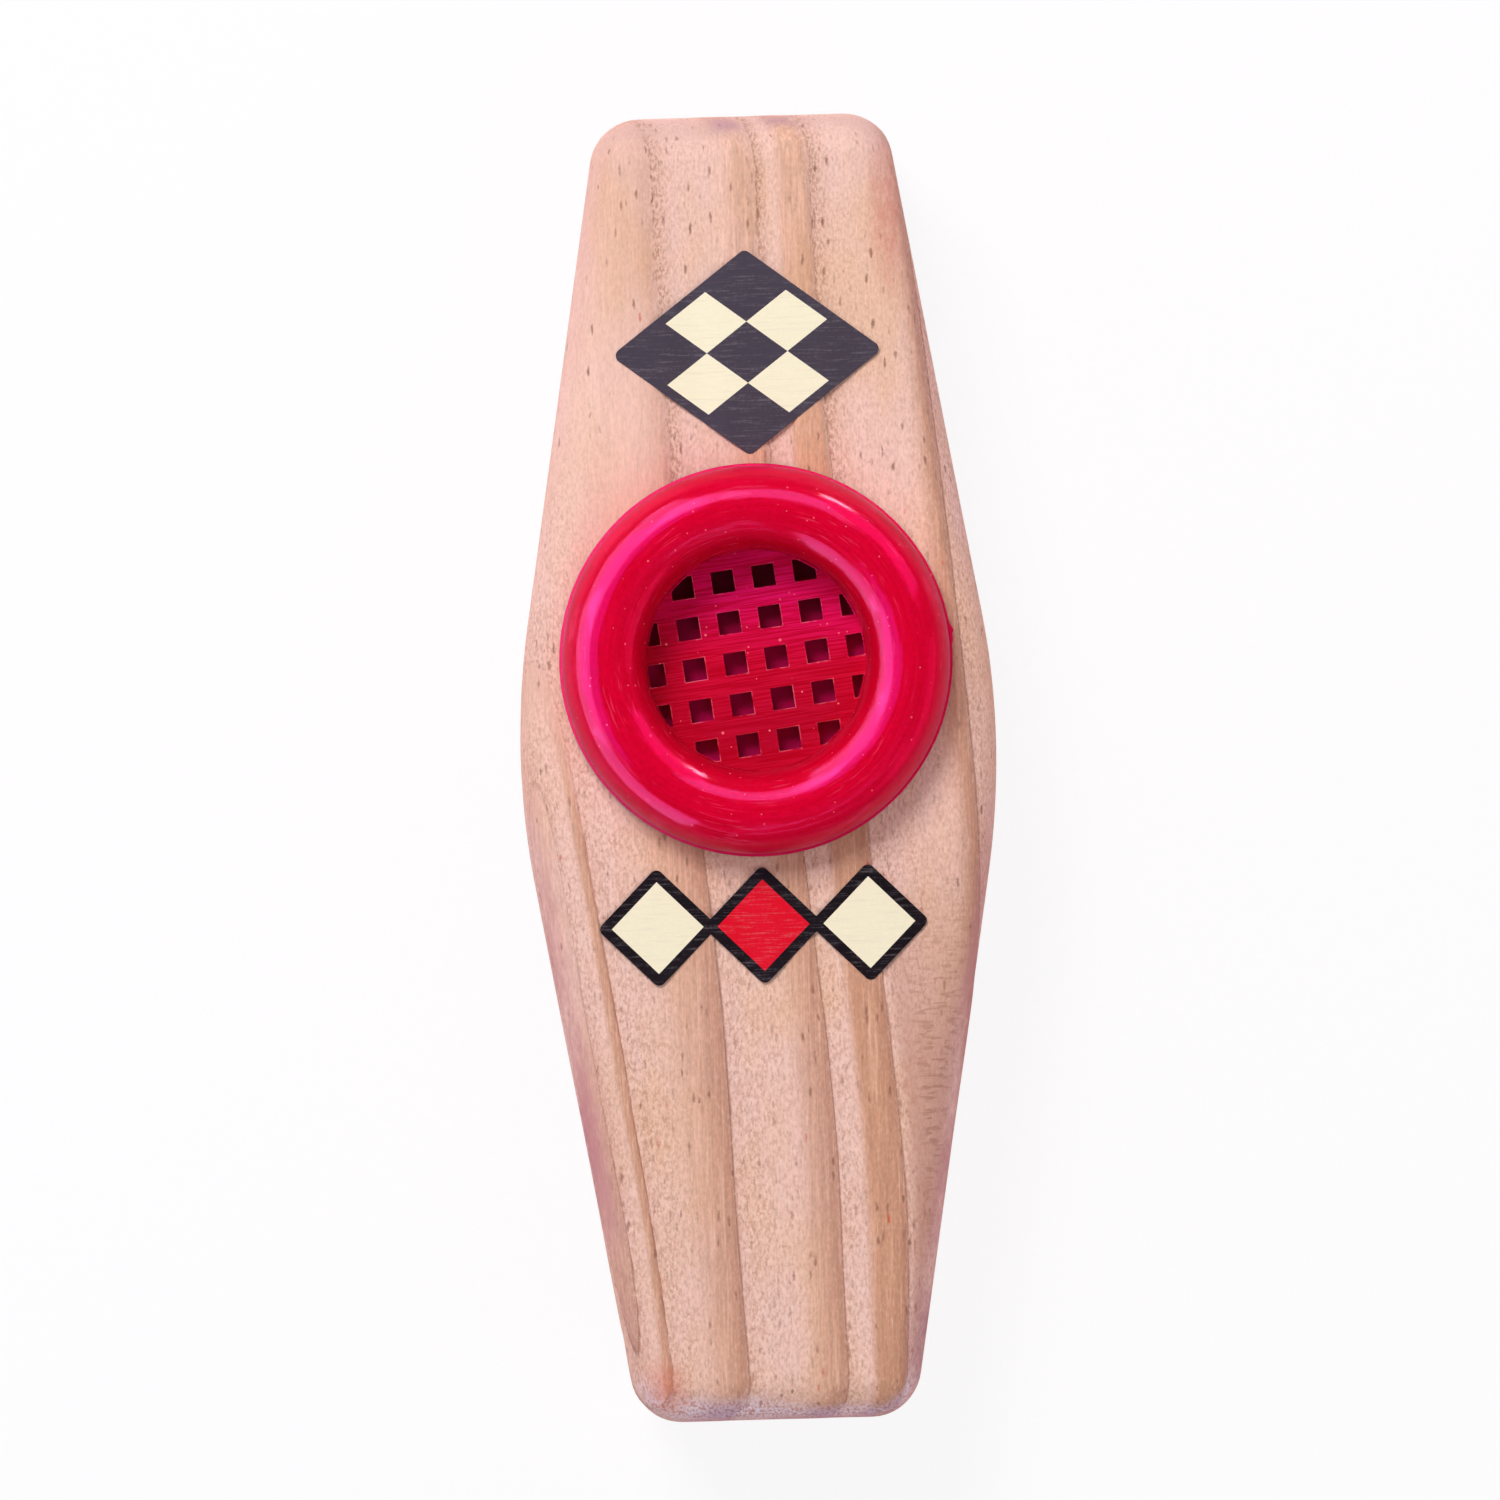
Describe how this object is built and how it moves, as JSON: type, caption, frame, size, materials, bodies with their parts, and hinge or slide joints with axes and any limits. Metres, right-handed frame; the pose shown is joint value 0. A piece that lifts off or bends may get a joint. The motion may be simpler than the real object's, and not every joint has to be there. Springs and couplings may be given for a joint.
{
  "type": "kazoo",
  "caption": "Wooden kazoo: a tapered six-sided block with an air channel from end to end and a round screw-in cap whose grille covers a buzzing membrane.",
  "frame": {"origin": "centre of the flat back face, at the middle of the length and width", "axes": "+Y along the body to the head end, where the player hums; +Z out of the front face, along the cap's axis; +X to the right seen from the front with the head up"},
  "size_m": [0.0476, 0.13, 0.0285],
  "materials": {
    "pine": "sanded and brushed so that the growth rings stand up, matt, unvarnished",
    "socket_plastic": "moulded, dark",
    "film": "thin dark red film, satin",
    "card": "plain die-cut card",
    "red_grille": "fine scored lines along the rows of holes",
    "red_gloss": "glossy moulding",
    "sticker_dark": "printed, satin, cream and charcoal",
    "sticker_red": "printed, satin, cream, black and red"
  },
  "bodies": {
    "kazoo_body": {"wooden_body": "pine", "threaded_socket": "socket_plastic", "membrane_film": "film", "membrane_rim": "card", "upper_sticker": "sticker_dark", "lower_sticker": "sticker_red"},
    "grille_plate": {"grille": "red_grille"},
    "cap": {"cap_ring": "red_gloss"}
  },
  "joints": [
    {"name": "cap_lift", "type": "slide", "parent": "kazoo_body", "child": "grille_plate", "axis": [0, 0, 1], "range_m": [0, 0.003]},
    {"name": "cap_turn", "type": "hinge", "parent": "grille_plate", "child": "cap", "pos_m": [0, 0.0107, 0.022], "axis": [0, 0, 1], "range_deg": [0, 540]}
  ],
  "couplings": [
    {"joint": "cap_lift", "follows": "cap_turn", "m_per_rad": 0.000318}
  ]
}
